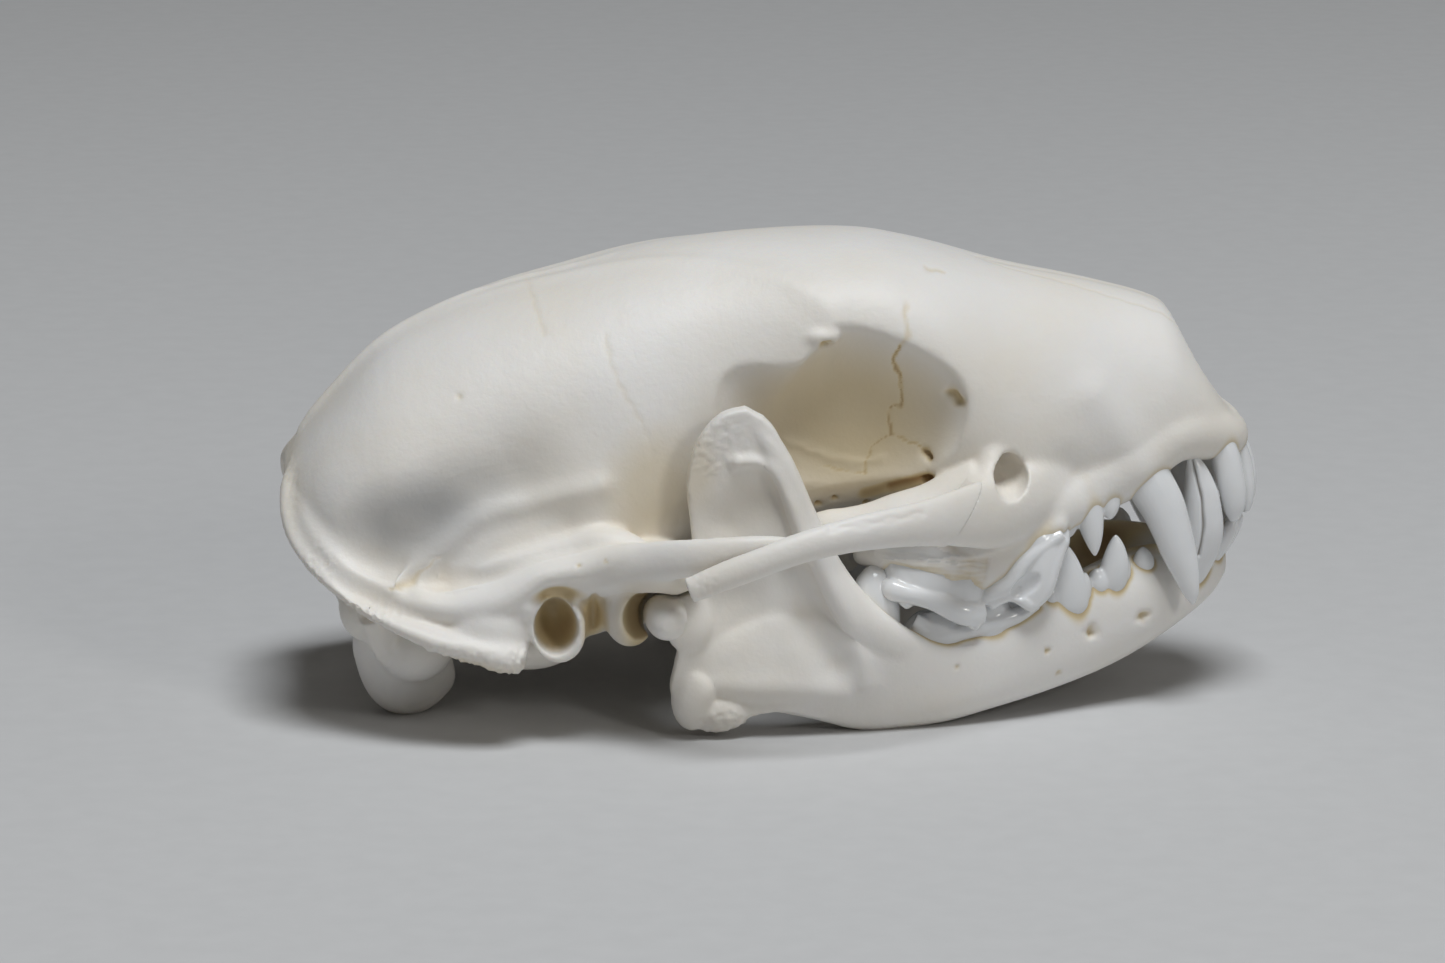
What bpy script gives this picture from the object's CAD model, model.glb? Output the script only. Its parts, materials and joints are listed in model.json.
"""The looks of the skunk skull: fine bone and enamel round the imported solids, with floor, light and camera.

Shapes are set out in millimetres, as they are in the part, and brought to metres at the end. +X runs to the
snout, +Z up, and the right side of the animal is at -Y. "out" is a distance from the middle plane.
"""

import json
import math

import bmesh
import bpy
import numpy as np
from mathutils import Matrix, Vector, kdtree

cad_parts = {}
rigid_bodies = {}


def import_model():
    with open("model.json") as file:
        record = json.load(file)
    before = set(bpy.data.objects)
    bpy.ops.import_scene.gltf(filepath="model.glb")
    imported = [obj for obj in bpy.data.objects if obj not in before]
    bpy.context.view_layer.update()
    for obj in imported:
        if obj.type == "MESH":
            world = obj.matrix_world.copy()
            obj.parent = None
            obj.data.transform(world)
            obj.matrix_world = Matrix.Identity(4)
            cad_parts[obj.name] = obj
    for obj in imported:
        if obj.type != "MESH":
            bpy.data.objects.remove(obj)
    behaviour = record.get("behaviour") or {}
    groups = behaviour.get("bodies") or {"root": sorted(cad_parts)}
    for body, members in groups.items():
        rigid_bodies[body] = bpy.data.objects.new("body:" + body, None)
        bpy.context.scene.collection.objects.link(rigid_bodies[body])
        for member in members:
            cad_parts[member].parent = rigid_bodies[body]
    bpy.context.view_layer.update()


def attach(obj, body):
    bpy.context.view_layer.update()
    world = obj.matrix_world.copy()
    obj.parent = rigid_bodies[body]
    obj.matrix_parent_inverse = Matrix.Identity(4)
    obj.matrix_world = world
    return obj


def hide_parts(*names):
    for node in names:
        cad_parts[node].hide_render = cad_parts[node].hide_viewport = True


MM_TO_M = 0.001
RIGHT, LEFT = -1, 1
GAP = 0.3  # between pieces that touch
ROOM = 0.42  # the same before smoothing

# Fineness of the surfaces, coarser while trying things.
COARSE = 1.0
BONE_VOXEL = 0.19 * COARSE
JAW_VOXEL = 0.17 * COARSE
JUGAL_VOXEL = 0.12 * COARSE
TOOTH_VOXEL = 0.09 * COARSE
ROOM_VOXEL = 0.4
SECTION_POINTS = 96
JAW_POINTS = 48

# Cross-sections of the cranium along x:
# x, half width, top, level of the greatest width, bottom, squareness above it and below it.
CRANIUM_SECTIONS = (
    (-36.6, 4.6, 18.4, 16.9, 15.0, 2.0, 2.0),
    (-35.4, 8.2, 20.5, 16.4, 11.6, 2.0, 2.0),
    (-33.0, 11.6, 23.5, 15.8, 8.6, 2.0, 2.1),
    (-29.2, 13.5, 27.4, 15.3, 5.4, 2.0, 2.2),
    (-24.6, 14.2, 30.0, 15.3, 4.4, 2.0, 2.3),
    (-20.1, 14.2, 31.7, 16.0, 4.8, 2.05, 2.3),
    (-15.6, 13.9, 32.9, 17.2, 6.2, 2.1, 2.3),
    (-9.6, 12.8, 34.4, 19.5, 8.2, 2.2, 2.2),
    (-3.5, 11.4, 35.2, 23.5, 10.2, 2.3, 2.1),
    (2.5, 11.3, 35.45, 27.0, 11.8, 2.4, 2.0),
    (7.1, 11.5, 35.3, 27.5, 12.7, 2.45, 2.0),
    (10.1, 11.7, 34.8, 26.5, 13.0, 2.45, 2.1),
    (13.2, 11.8, 34.1, 24.5, 13.4, 2.4, 2.2),
    (17.8, 11.3, 32.9, 20.8, 14.2, 2.2, 2.4),
    (22.3, 9.9, 32.0, 20.4, 15.4, 2.1, 2.6),
    (25.4, 8.8, 31.3, 20.6, 16.7, 2.05, 2.6),
    (28.9, 8.0, 30.3, 20.8, 17.9, 2.1, 2.6),
    (30.6, 7.4, 29.2, 20.8, 18.2, 2.3, 2.6),
    (32.6, 6.4, 26.2, 20.6, 18.4, 2.4, 2.6),
    (34.6, 5.2, 22.5, 20.0, 18.4, 2.4, 2.4),
    (36.2, 3.6, 20.2, 19.3, 18.4, 2.2, 2.2),
)

# Rim of bone that holds the upper teeth: x, out, z, half thickness out, half height.
UPPER_TOOTH_RIM = (
    (6.0, 9.4, 13.4, 1.4, 1.4),
    (9.0, 10.4, 13.0, 1.7, 1.8),
    (12.5, 10.6, 13.0, 1.6, 2.6),
    (16.0, 10.4, 13.6, 1.9, 3.0),
    (19.5, 9.6, 15.6, 2.1, 2.6),
    (23.0, 8.2, 16.9, 2.0, 2.3),
    (26.2, 6.8, 18.2, 2.1, 2.4),
    (30.0, 5.8, 20.6, 2.2, 2.2),
    (33.0, 4.4, 20.4, 1.8, 2.1),
    (34.9, 2.9, 19.8, 1.5, 1.7),
    (35.5, 0.5, 19.7, 1.2, 1.6),
)

# Zygomatic process of the squamosal bone, the rear half of the cheek arch.
SQUAMOSAL_PROCESS = (
    (-19.0, 12.0, 11.6, 1.8, 1.6),
    (-14.5, 14.4, 12.5, 2.0, 1.7),
    (-10.0, 18.0, 14.3, 1.2, 1.6),
    (-6.5, 20.1, 15.25, 0.85, 1.38),
    (-2.0, 20.9, 15.9, 0.65, 1.1),
    (1.6, 20.7, 16.1, 0.4, 0.6),
)

# Cheekbone, the front half of the arch: it starts at the maxilla and ends free, outside the rear half.
JUGAL = (
    (16.2, 13.0, 16.6, 1.4, 2.8),
    (13.8, 15.3, 16.8, 1.0, 2.4),
    (9.8, 18.3, 17.0, 0.9, 1.7),
    (5.2, 20.5, 16.9, 0.85, 1.35),
    (0.7, 21.6, 16.1, 0.85, 1.15),
    (-3.7, 21.9, 14.6, 0.85, 1.1),
    (-7.3, 21.7, 13.1, 0.7, 0.95),
)
# The suture plane between cheekbone and maxilla: a point of it, its normal towards the maxilla, and the
# block that cuts along it, with the block's shift outward from that point.
CHEEK_SUTURE = (13.4, 15.6, 16.5)
CHEEK_SUTURE_NORMAL = (0.66, -0.35, -0.66)
SUTURE_BLOCK = (4.0, 7.0, 11.0)
SUTURE_BLOCK_SHIFT = 1.6

# Zygomatic process of the maxilla, which the cheekbone leans on.
CHEEK_ROOT = (
    (21.5, 8.6, 18.0, 1.6, 2.4),
    (18.6, 10.8, 17.0, 1.8, 2.8),
    (16.2, 13.0, 16.6, 1.5, 2.8),
    (13.8, 15.3, 16.8, 1.0, 2.4),
    (11.0, 17.4, 17.0, 0.9, 1.8),
)

PTERYGOID = ((6.0, 3.9, 12.4, 0.7, 2.4), (0.5, 3.8, 10.4, 0.6, 2.4), (-4.5, 3.9, 8.0, 0.5, 1.2))
EAR_TUBE = ((-15.6, 10.5, 8.7, 2.0, 2.4), (-16.3, 13.4, 8.8, 2.05, 2.5), (-16.6, 16.2, 8.8, 2.05, 2.5))
# Rounded lumps of the skull's base: centre (x, out, z) and radii.
SKULL_BASE = (
    ((-27.0, 8.0, 6.0), (3.0, 4.0, 2.8)),  # neck of the condyle
    ((-30.7, 4.8, 9.9), (2.2, 4.6, 3.1)),  # side of the occiput
    ((-30.5, 9.6, 9.4), (2.2, 2.6, 2.8)),
    ((-18.5, 9.6, 7.4), (4.4, 4.2, 3.0)),  # bulla
    ((-13.5, 8.0, 9.0), (3.6, 3.0, 2.0)),
    ((-21.6, 14.5, 8.8), (3.2, 2.5, 2.8)),  # mastoid process
)
OCCIPITAL_CONDYLE = (
    (-29.8, 7.3, 7.6, 1.4, 1.4),
    (-29.3, 6.5, 5.2, 2.6, 2.2),
    (-27.6, 5.2, 2.9, 2.7, 3.15),
    (-24.8, 3.7, 3.5, 2.1, 2.1),
)
JUGULAR_PROCESS = (
    (-29.8, 11.4, 9.4, 1.6, 1.8),
    (-29.2, 10.6, 6.8, 1.0, 1.4),
    (-28.3, 9.7, 4.7, 0.6, 0.9),
)
# More rounded lumps, which are added after the side hollows are cut.
SIDE_LUMPS = (
    ((-11.2, 13.5, 9.9), (2.1, 3.5, 2.9)),  # post-glenoid process
    ((-14.2, 11.8, 10.2), (2.6, 2.6, 2.8)),
    ((-9.2, 14.2, 13.0), (3.6, 4.6, 1.9)),  # roof of the joint
    ((3.2, 10.6, 29.5), (1.5, 0.9, 0.7)),  # post-orbital process
    ((-9.9, 9.6, 10.2), (2.6, 2.0, 2.6)),  # inner end of the joint
    ((-19.0, 14.0, 10.6), (1.3, 2.6, 1.5)),  # between ear and mastoid process
)
# Hole below the eye socket, as a bar to cut.
INFRAORBITAL = (
    (17.2, 15.5, 18.9, 1.3, 1.5),
    (17.2, 13.0, 19.1, 1.35, 1.5),
    (17.1, 11.4, 19.3, 1.3, 1.4),
    (15.9, 10.2, 19.6, 1.0, 1.2),
    (13.6, 9.6, 19.9, 0.5, 0.7),
)
# Holes on the middle plane: centre, radii, side and pitch.
MIDDLE_HOLES = (
    ((-30.5, 0, 8.8), (9.0, 4.6, 4.0), 1, 0.3),  # foramen magnum
    ((31.6, 0, 25.2), (9.0, 3.9, 4.2), 1, 0.36),  # nasal opening
    ((0.0, 0, 9.8), (7.0, 3.0, 2.4), 1, 0.36),  # rear nostrils
)
# Thin plates inside the nose: its partition, and the scrolls on either side.
NOSE_PLATES = (
    ((23.4, 0.0, 23.6, 0.3, 3.0), (26.6, 0.0, 22.8, 0.28, 2.4), (29.6, 0.0, 21.9, 0.25, 1.2)),
    ((23.6, 2.1, 24.8, 0.8, 1.5), (26.4, 2.0, 24.6, 0.6, 1.3), (29.4, 2.2, 24.0, 0.3, 0.9)),
    ((24.0, 2.6, 22.4, 1.2, 0.5), (28.6, 2.9, 22.2, 0.9, 0.4)),
)
# Eye socket and temporal fossa, one long hollow in each side.
SIDE_HOLLOW = (
    (-6.2, 15.0, 28.4, 2.4, 1.4),
    (-4.4, 15.6, 26.8, 5.4, 3.6),
    (-1.6, 16.6, 24.2, 8.0, 7.6),
    (2.0, 17.0, 22.6, 9.0, 10.4),
    (6.0, 17.0, 22.4, 9.0, 10.6),
    (10.0, 16.6, 22.2, 8.2, 8.8),
    (12.9, 16.2, 22.0, 6.8, 7.0),
    (14.7, 15.8, 21.6, 4.6, 4.6),
    (15.2, 15.6, 21.4, 2.0, 2.0),
)
EAR_OPENING = ((-16.75, 16.4, 9.05), (1.66, 5.0, 2.1))
# Hollows above the ear tube and before it, and the cup for the jaw's condyle.
EAR_HOLLOWS = (
    ((-16.5, 18.2, 11.45), (2.0, 3.4, 1.0)),
    ((-13.9, 17.2, 8.8), (0.75, 4.2, 3.1)),
    ((-9.6, 17.5, 9.8), (2.35, 4.2, 2.3)),
)

# Front and upper edge of the eye socket.
ORBIT_RIM = (
    (16.0, 10.3, 22.4, 0.9, 0.8),
    (16.0, 10.9, 20.6, 1.1, 1.0),
    (15.6, 12.0, 18.8, 1.3, 1.3),
    (14.4, 13.6, 17.7, 1.2, 1.4),
    (12.8, 15.2, 17.3, 0.9, 1.3),
)
# Floor of the eye socket, a swelling over the roots of the cheek teeth.
ORBIT_FLOOR = (
    (15.0, 11.6, 18.6, 1.8, 1.6),
    (12.8, 11.5, 17.6, 2.0, 1.6),
    (11.2, 11.5, 16.8, 2.2, 1.6),
    (9.0, 11.3, 16.1, 2.2, 1.6),
    (6.8, 11.1, 15.4, 2.0, 1.5),
    (3.6, 10.4, 14.8, 1.6, 1.3),
    (0.0, 9.0, 13.6, 1.0, 1.0),
)
# Edge of bone round the upper molar and carnassial.
MOLAR_GUM = (
    (21.4, 10.6, 15.3, 0.8, 0.9),
    (19.0, 11.3, 14.1, 0.8, 1.1),
    (16.8, 11.6, 12.5, 0.8, 1.4),
    (14.6, 11.9, 11.6, 1.0, 1.4),
    (12.0, 11.9, 12.5, 1.1, 1.5),
    (9.4, 11.7, 13.4, 1.1, 1.3),
    (7.2, 10.9, 13.8, 1.0, 1.1),
)
# Shelf from the mastoid process to the root of the cheek arch, and the slopes that rise from shelf and crest
# to the braincase.
EAR_SHELF = (
    (-30.0, 12.4, 11.6, 1.6, 1.2),
    (-25.6, 13.6, 10.6, 2.2, 1.6),
    (-21.4, 14.4, 10.8, 2.4, 1.7),
    (-17.6, 14.6, 12.9, 2.3, 1.2),
    (-14.0, 15.4, 13.5, 2.0, 1.3),
    (-10.6, 17.5, 14.6, 1.2, 1.2),
    (-7.0, 19.8, 15.2, 0.4, 0.5),
)
SHELF_SLOPE = (
    (-25.4, 11.6, 12.4, 1.4, 1.2),
    (-20.6, 13.0, 13.5, 1.8, 1.6),
    (-16.4, 13.2, 14.5, 1.7, 1.5),
    (-12.4, 13.9, 14.9, 1.5, 1.2),
    (-9.2, 15.6, 13.9, 0.9, 0.7),
)
CREST_SLOPE = (
    (-34.6, 4.0, 18.6, 1.6, 1.6),
    (-34.0, 8.4, 15.6, 1.8, 1.6),
    (-31.6, 11.0, 13.0, 2.2, 1.8),
    (-27.6, 12.6, 11.4, 2.6, 2.0),
)

# Crest round the back of the skull, from the middle down to the mastoid process.
NUCHAL_CREST = (
    (-34.5, 0.0, 20.0, 0.9, 0.8),
    (-35.3, 3.0, 18.9, 0.9, 0.8),
    (-35.9, 5.8, 17.3, 1.1, 0.8),
    (-35.3, 8.6, 14.8, 1.4, 0.8),
    (-33.2, 11.0, 12.4, 1.8, 0.8),
    (-29.6, 13.4, 10.0, 2.0, 0.8),
    (-25.4, 14.8, 8.3, 2.4, 1.0),
    (-22.4, 15.4, 7.6, 2.4, 1.2),
    (-20.4, 15.7, 7.0, 2.2, 1.3),
    (-19.0, 15.9, 6.5, 1.2, 1.0),
)

# Lower jaw body: x, out, top, bottom, half thickness.
JAW_BODY = (
    (35.0, 1.5, 10.9, 8.9, 1.2),
    (33.8, 2.0, 11.0, 7.4, 2.4),
    (31.5, 2.7, 11.3, 5.7, 3.3),
    (28.0, 4.3, 11.5, 3.8, 3.6),
    (24.5, 6.6, 11.0, 2.6, 2.5),
    (20.0, 8.9, 9.3, 1.6, 2.2),
    (16.0, 10.2, 7.4, 0.8, 2.3),
    (12.5, 11.1, 6.7, 0.1, 2.3),
    (9.0, 11.8, 7.6, -0.15, 2.2),
    (6.0, 12.4, 8.4, -0.1, 2.0),
    (2.5, 13.2, 9.6, 1.0, 1.6),
    (-1.0, 13.9, 9.6, 1.9, 1.2),
    (-4.5, 14.2, 8.4, 2.6, 0.7),
    (-6.5, 14.3, 7.0, 3.6, 0.3),
)
JAW_SQUARENESS = 2.4
# Front edge of the ramus, as bars: x, out, z, half thickness out, half height.
JAW_FRONT_EDGE = (
    (-2.2, 14.6, 24.2, 0.9, 0.9),
    (-0.2, 14.7, 21.0, 1.1, 1.0),
    (1.6, 14.4, 16.6, 1.2, 1.1),
    (3.6, 13.8, 12.2, 1.3, 1.3),
    (6.0, 13.0, 8.6, 1.6, 1.6),
    (9.0, 12.2, 5.6, 1.6, 2.0),
    (12.0, 11.4, 3.6, 1.6, 2.0),
)
JAW_CONDYLE = (
    (-8.6, 18.9, 9.8, 0.5, 0.5),
    (-8.6, 18.3, 9.8, 1.15, 1.2),
    (-8.6, 17.0, 9.8, 1.5, 1.6),
    (-8.7, 15.0, 9.6, 1.5, 1.7),
    (-8.9, 12.4, 9.2, 1.3, 1.5),
    (-8.9, 10.8, 9.0, 0.8, 1.0),
)
# Rounded lumps of the jaw: centre (x, out, z) and radii.
JAW_BALLS = (
    ((-6.9, 14.6, 9.2), (1.9, 1.1, 2.6)),  # neck of the joint
    ((-6.6, 14.4, 3.0), (1.6, 1.25, 2.4)),  # angular process
    ((-4.6, 14.3, 1.8), (2.2, 1.05, 1.3)),
)

# Outline of the ramus seen from the side, in order round it: x, z.
RAMUS_OUTLINE = (
    (-2.7, 25.2),
    (-0.9, 24.0),
    (0.3, 21.8),
    (1.6, 18.0),
    (3.2, 13.4),
    (5.4, 10.4),
    (7.0, 7.0),
    (6.0, 1.5),
    (3.0, 1.2),
    (0.4, 1.9),
    (-2.2, 1.6),
    (-4.6, 0.4),
    (-6.8, 1.2),
    (-8.2, 3.4),
    (-7.9, 5.6),
    (-7.6, 7.2),
    (-7.6, 9.5),
    (-7.0, 12.0),
    (-6.6, 15.0),
    (-7.0, 19.5),
    (-6.2, 22.6),
    (-4.6, 24.6),
)
RAMUS_OUT, RAMUS_THICKNESS = 14.2, 1.7
RAMUS_TURN = 0.22  # inward for each millimetre forward of the coronoid process
RAMUS_LEAN = 0.03  # outward for each millimetre up, from the level below
RAMUS_LEAN_LEVEL = 10.0

# Bars that stand in front of the hollows in the side of the skull.
FRONT_BARS = (
    SQUAMOSAL_PROCESS,
    EAR_SHELF,
    SHELF_SLOPE,
    CHEEK_ROOT,
    ORBIT_RIM,
    ORBIT_FLOOR,
    MOLAR_GUM,
    PTERYGOID,
    EAR_TUBE,
    JUGULAR_PROCESS,
)

# Cusps of the teeth: gum point and tip as (x, out, z), half length, half width, fullness (2 round, 1 conical)
# and how far the middle of the crown bows forward.
UPPER_CUSPS = {
    "second premolar": (((25.1, 8.2, 17.0), (25.2, 8.8, 14.8), 0.9, 0.75, 3.0, 0.0),),
    "third premolar": (
        ((23.2, 8.8, 16.4), (24.0, 9.5, 12.1), 1.2, 0.85, 1.8, 0.15),
        ((22.1, 9.0, 15.8), (22.0, 9.5, 13.6), 0.85, 0.8, 2.6, 0.0),
        ((24.0, 8.6, 16.2), (24.2, 9.1, 14.2), 0.5, 0.6, 2.6, 0.0),
    ),
    "carnassial": (
        ((19.3, 10.8, 14.0), (18.9, 12.2, 8.5), 2.0, 1.25, 1.6, 0.2),
        ((21.1, 10.3, 14.3), (21.4, 11.1, 12.8), 0.8, 0.8, 2.6, 0.0),
        ((16.6, 11.0, 12.2), (15.9, 12.1, 8.8), 1.5, 0.95, 2.4, 0.0),
        ((18.6, 10.2, 13.8), (18.2, 10.8, 10.4), 2.9, 1.3, 3.0, 0.0),
        ((19.9, 8.4, 15.8), (20.2, 8.2, 12.4), 1.6, 1.5, 2.2, 0.0),
    ),
    "molar": (
        ((13.3, 11.0, 11.2), (14.8, 12.9, 7.4), 1.5, 1.1, 2.2, 0.0),
        ((9.8, 10.8, 12.6), (9.5, 12.6, 9.1), 1.6, 1.2, 2.6, 0.0),
        ((11.3, 10.9, 13.0), (11.7, 12.2, 9.0), 3.5, 1.45, 3.2, 0.0),
        ((13.6, 11.4, 12.0), (13.8, 12.4, 8.6), 1.8, 1.2, 3.0, 0.0),
        ((11.2, 8.8, 13.2), (11.4, 8.4, 9.7), 2.9, 2.6, 3.2, 0.0),
    ),
}
LOWER_CUSPS = {
    "second premolar": (((28.0, 6.2, 10.4), (28.0, 6.6, 12.2), 0.9, 0.75, 2.4, 0.1),),
    "third premolar": (
        ((25.5, 7.7, 9.8), (25.7, 8.2, 13.6), 1.2, 0.9, 2.0, 0.15),
        ((24.4, 8.0, 9.4), (24.3, 8.3, 11.0), 0.9, 0.8, 2.6, 0.0),
        ((26.4, 7.4, 10.2), (26.5, 7.7, 11.9), 0.6, 0.7, 2.4, 0.0),
    ),
    "fourth premolar": (
        ((21.9, 9.0, 8.4), (21.8, 9.6, 13.2), 1.75, 1.05, 1.5, 0.1),
        ((23.2, 8.7, 9.0), (23.3, 9.0, 10.9), 0.65, 0.75, 2.6, 0.0),
        ((20.7, 9.2, 8.2), (20.6, 9.5, 10.3), 0.8, 0.85, 2.6, 0.0),
    ),
    "first molar": (
        ((18.4, 9.5, 7.2), (18.6, 9.2, 11.6), 1.7, 1.2, 1.9, 0.0),
        ((15.8, 10.4, 6.6), (15.7, 10.1, 12.2), 2.0, 1.4, 1.8, 0.0),
        ((14.6, 8.8, 6.6), (14.4, 8.2, 11.0), 1.4, 1.2, 1.8, 0.0),
        ((12.0, 10.6, 5.8), (11.9, 10.6, 8.9), 2.7, 1.8, 3.2, 0.0),
    ),
    "second molar": (((7.3, 11.0, 7.6), (7.2, 11.0, 12.3), 1.9, 1.7, 3.6, 0.0),),
}
# Long teeth, from root to tip: x, out, z, half length along the jaw, half width.
UPPER_HORNS = {
    "canine": (
        (25.4, 5.6, 24.0, 1.0, 0.9),
        (26.8, 6.6, 20.6, 1.7, 1.3),
        (27.95, 7.2, 17.9, 1.85, 1.4),
        (29.15, 7.6, 15.8, 1.75, 1.3),
        (29.85, 7.9, 14.1, 1.55, 1.15),
        (30.5, 8.1, 12.2, 1.36, 1.0),
        (31.05, 8.2, 10.5, 1.04, 0.78),
        (31.5, 8.2, 8.9, 0.62, 0.5),
        (31.68, 8.15, 8.0, 0.16, 0.14),
    ),
    "third incisor": (
        (33.0, 4.0, 21.6, 0.8, 0.8),
        (34.2, 4.5, 19.4, 1.05, 0.95),
        (34.8, 4.8, 17.2, 1.12, 0.98),
        (35.1, 4.95, 15.3, 0.95, 0.85),
        (35.1, 4.95, 14.2, 0.65, 0.6),
        (35.0, 4.9, 13.6, 0.2, 0.2),
    ),
    "second incisor": (
        (34.6, 2.6, 20.6, 0.6, 0.7),
        (35.7, 2.8, 18.8, 0.72, 0.82),
        (36.2, 2.85, 16.8, 0.76, 0.86),
        (36.4, 2.85, 15.1, 0.6, 0.8),
        (36.35, 2.8, 14.1, 0.36, 0.66),
        (36.3, 2.8, 13.8, 0.12, 0.3),
    ),
    "first incisor": (
        (35.0, 0.95, 20.4, 0.6, 0.6),
        (36.2, 1.0, 18.6, 0.7, 0.76),
        (36.7, 1.0, 16.7, 0.72, 0.8),
        (36.85, 1.0, 15.1, 0.56, 0.76),
        (36.75, 1.0, 14.2, 0.34, 0.62),
        (36.7, 1.0, 13.9, 0.12, 0.3),
    ),
}
LOWER_HORNS = {
    "canine": (
        (28.6, 3.6, 6.0, 1.3, 1.2),
        (30.6, 4.2, 8.4, 1.75, 1.4),
        (32.0, 4.9, 11.0, 1.8, 1.4),
        (32.55, 5.3, 12.9, 1.75, 1.3),
        (32.6, 5.5, 14.6, 1.55, 1.15),
        (32.45, 5.6, 16.2, 1.28, 0.95),
        (32.1, 5.6, 17.8, 0.86, 0.66),
        (31.75, 5.6, 18.8, 0.42, 0.36),
        (31.65, 5.6, 19.1, 0.14, 0.12),
    ),
    "third incisor": (
        (32.4, 2.9, 8.6, 0.6, 0.6),
        (33.8, 3.2, 10.6, 0.72, 0.7),
        (34.8, 3.35, 12.2, 0.7, 0.74),
        (35.3, 3.35, 13.2, 0.4, 0.6),
        (35.5, 3.3, 13.5, 0.12, 0.3),
    ),
    "second incisor": (
        (33.0, 1.9, 8.8, 0.55, 0.55),
        (34.4, 2.05, 10.6, 0.62, 0.62),
        (35.4, 2.1, 12.3, 0.6, 0.66),
        (35.9, 2.1, 13.2, 0.36, 0.54),
        (36.1, 2.1, 13.5, 0.12, 0.3),
    ),
    "first incisor": (
        (33.4, 0.8, 8.8, 0.5, 0.48),
        (34.8, 0.85, 10.6, 0.58, 0.54),
        (35.7, 0.85, 12.0, 0.56, 0.58),
        (36.2, 0.85, 12.9, 0.34, 0.48),
        (36.4, 0.85, 13.2, 0.12, 0.26),
    ),
}
# Crests and ledges on the crowns: x, out, z, half thickness out, half height.
UPPER_CRESTS = (
    (
        (21.3, 10.9, 13.9, 0.6, 0.6),
        (20.5, 11.4, 11.9, 0.65, 0.7),
        (19.9, 11.7, 10.2, 0.6, 0.7),
        (19.0, 12.0, 9.0, 0.4, 0.4),
    ),
    ((18.9, 12.0, 9.1, 0.5, 0.5), (17.4, 11.9, 10.0, 0.55, 0.6), (15.7, 11.9, 9.3, 0.5, 0.5)),
    (
        (21.2, 11.1, 14.4, 0.6, 0.5),
        (19.2, 11.7, 13.2, 0.7, 0.6),
        (18.1, 12.0, 12.2, 0.75, 0.6),
        (17.3, 12.1, 10.9, 0.75, 0.7),
        (16.1, 12.0, 10.2, 0.7, 0.6),
        (15.3, 11.8, 9.4, 0.5, 0.4),
    ),
    (
        (15.3, 12.3, 8.6, 0.6, 0.8),
        (13.8, 12.8, 8.8, 0.75, 0.95),
        (11.4, 12.7, 9.8, 0.65, 0.75),
        (9.6, 12.6, 10.3, 0.7, 0.75),
        (8.4, 12.3, 10.6, 0.7, 0.85),
        (7.9, 11.6, 10.8, 0.5, 0.6),
    ),
    (
        (14.0, 9.6, 10.2, 0.5, 0.6),
        (12.8, 7.0, 10.4, 0.5, 0.6),
        (10.6, 6.2, 10.6, 0.5, 0.6),
        (8.6, 7.4, 11.0, 0.5, 0.6),
    ),
)
LOWER_CRESTS = (
    (
        (19.6, 10.0, 8.6, 0.5, 0.6),
        (17.6, 10.9, 7.9, 0.6, 0.7),
        (15.0, 11.4, 7.3, 0.6, 0.7),
        (12.4, 11.7, 7.0, 0.6, 0.7),
        (10.2, 11.5, 8.0, 0.5, 0.6),
    ),
    ((18.6, 9.2, 11.3, 0.3, 0.3), (17.2, 9.7, 10.2, 0.4, 0.6), (15.8, 10.1, 11.8, 0.3, 0.3)),
)
# Hollows of the crowns: centre, radii and, for some, how far they are pitched up.
UPPER_BASINS = (
    ((18.5, 13.1, 10.7), (1.75, 1.15, 0.95), 0.76),
    ((11.4, 9.6, 9.2), (2.2, 1.7, 1.0)),
    ((11.0, 12.2, 8.2), (1.3, 1.0, 0.8)),
)
LOWER_BASINS = (
    ((11.6, 10.5, 9.3), (1.9, 1.1, 1.0)),
    ((7.9, 11.2, 12.7), (0.5, 0.5, 0.6)),
)
# How a line or spot is set out: its two axes, the axis that it is seen along, and the way the surface faces.
VIEWS = {
    "side": ([0, 2], 1, 1),
    "top": ([0, 1], 2, 1),
    "under": ([0, 1], 2, -1),
    "back": ([1, 2], 0, -1),
    "front": ([1, 2], 0, 1),
}
FACING = 0.3  # a line fades where the surface turns away from the view more than this
WIGGLE = 0.12  # how far a thin line wanders
GRAIN = 0.4  # size of the grains of rough bone
GRAIN_HEIGHT = 0.55
GUM_LINE = 0.2  # width of the stained line round a tooth
# Limits of a line along the axis that it is seen along: none, the orbit's wall, and two outer faces.
WHOLE = (-99, 99)
WALL = (5, 10.4)
ORBIT_EDGE = (5, 14)
JAW_FACE = (12, 99)
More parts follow.
